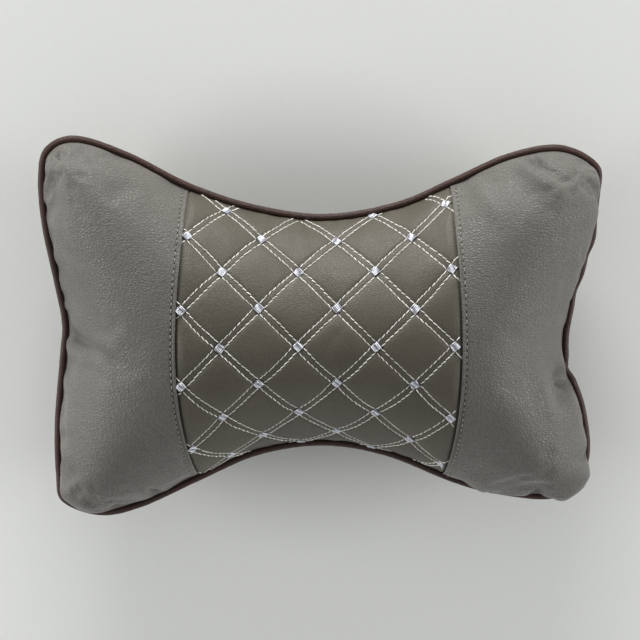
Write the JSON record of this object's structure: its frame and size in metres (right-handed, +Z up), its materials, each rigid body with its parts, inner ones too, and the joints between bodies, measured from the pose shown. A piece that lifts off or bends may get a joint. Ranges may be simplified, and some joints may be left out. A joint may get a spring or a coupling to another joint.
{
  "type": "car neck pillow",
  "caption": "Bone-shaped stuffed leatherette neck pillow with a diamond-quilted middle panel, plain side panels, round piping in the seam, and an elastic strap across the back for the headrest.",
  "frame": {"origin": "under the middle of the pillow, on the surface that it lies on", "axes": "+X along the pillow, +Y toward its top edge, +Z up, out of the quilted face"},
  "size_m": [0.2803, 0.1941, 0.091],
  "materials": {
    "quilted_leatherette": "grained polyurethane leatherette, satin",
    "taupe_leatherette": "coarsely pebbled polyurethane leatherette, satin",
    "brown_leatherette": "smooth dark brown piping, semi-gloss",
    "white_thread": "satin embroidery thread",
    "grey_thread": "sewing thread in the cover's color",
    "polyester_fiber": "loose white fiber",
    "black_elastic": "woven black elastic, matt"
  },
  "bodies": {
    "root": {"quilted_center_panel": "quilted_leatherette", "left_side_panel": "taupe_leatherette", "right_side_panel": "taupe_leatherette", "back_panel": "taupe_leatherette", "piping": "brown_leatherette", "quilt_stitching": "white_thread", "left_topstitching": "grey_thread", "right_topstitching": "grey_thread", "fiber_filling": "polyester_fiber", "elastic_strap": "black_elastic"}
  },
  "joints": []
}
